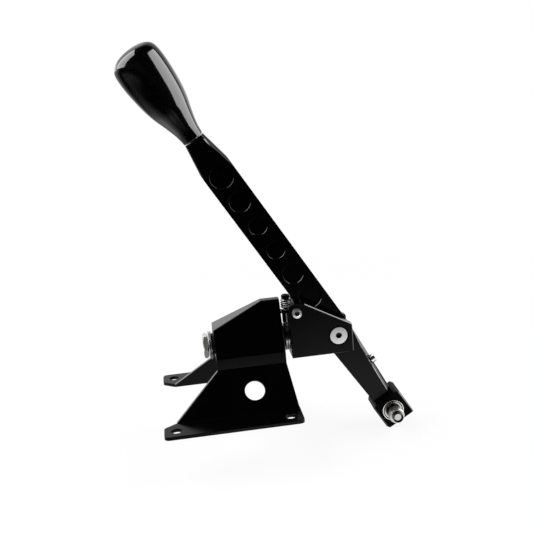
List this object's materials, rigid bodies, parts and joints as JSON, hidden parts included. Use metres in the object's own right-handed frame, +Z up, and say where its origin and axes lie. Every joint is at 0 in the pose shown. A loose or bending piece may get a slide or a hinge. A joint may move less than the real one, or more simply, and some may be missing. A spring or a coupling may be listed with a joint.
{
  "type": "short shifter",
  "caption": "Short shifter: a lever with a round knob pivots in a yoke that swings on a shaft through a saddle bracket, with a bearing block for the cable at its lower end.",
  "frame": {"origin": "centre of the flange hole pattern, on the plane under the flanges, where the part is bolted to a floor", "axes": "+X runs along the shaft from the nut to the lever pivot, +Y away from the side with the countersunk bolt head, +Z up from the mounting plane"},
  "size_m": [0.2222, 0.138, 0.344],
  "materials": {
    "satin_black": "satin black coated metal",
    "plate_black": "satin black coated metal",
    "charcoal_anodised": "charcoal anodised aluminium",
    "lever_black": "black anodised aluminium",
    "block_charcoal": "charcoal anodised aluminium",
    "knob_gloss": "gloss black",
    "plain_steel": "plain turned steel",
    "bright_steel": "bright steel",
    "zinc_steel": "zinc plated steel",
    "black_steel": "black oxide steel",
    "bush_polymer": "dark bearing polymer",
    "bearing_chrome": "bearing chrome"
  },
  "bodies": {
    "base": {"saddle_bracket": "satin_black", "front_plate": "plate_black", "rear_plate": "plate_black", "front_bush": "bush_polymer", "rear_bush": "bush_polymer", "stop_barrel": "bright_steel", "stop_washer_low": "bright_steel", "stop_washer_high": "bright_steel", "stop_spring": "bright_steel", "stop_screw": "black_steel"},
    "carrier": {"gate_shaft": "plain_steel", "shaft_nut": "zinc_steel", "front_washer_1": "zinc_steel", "front_washer_2": "zinc_steel", "rear_washer_1": "plain_steel", "rear_washer_2": "plain_steel", "carrier_yoke": "charcoal_anodised", "stop_block": "black_steel", "stop_block_screw_near": "bright_steel", "stop_block_screw_far": "bright_steel", "pivot_bolt": "bright_steel", "pivot_nut": "zinc_steel"},
    "lever": {"lever_bar": "lever_black", "lever_bush_near": "bush_polymer", "lever_bush_far": "bush_polymer", "knob_stud": "plain_steel", "shift_knob": "knob_gloss", "throw_clamp_screw": "bright_steel"},
    "block": {"cable_block": "block_charcoal", "bearing_race": "bearing_chrome"},
    "stud": {"bearing_ball": "bearing_chrome", "stud_sleeve": "bright_steel", "cable_stud": "bright_steel"}
  },
  "joints": [
    {"name": "gate_swing", "type": "hinge", "parent": "base", "child": "carrier", "pos_m": [0, 0, 0.051], "axis": [1, 0, 0], "range_deg": [-8, 8]},
    {"name": "shift_swing", "type": "hinge", "parent": "carrier", "child": "lever", "pos_m": [0.0971, 0, 0.051], "axis": [0, 1, 0], "range_deg": [0, 30]},
    {"name": "throw_adjust", "type": "slide", "parent": "lever", "child": "block", "axis": [0.512, 0, -0.859], "range_m": [0, 0.01]},
    {"name": "stud_swivel", "type": "hinge", "parent": "block", "child": "stud", "pos_m": [0.14125, -0.0087, -0.02443], "axis": [0.512, 0, -0.859], "range_deg": [-8, 8]}
  ]
}
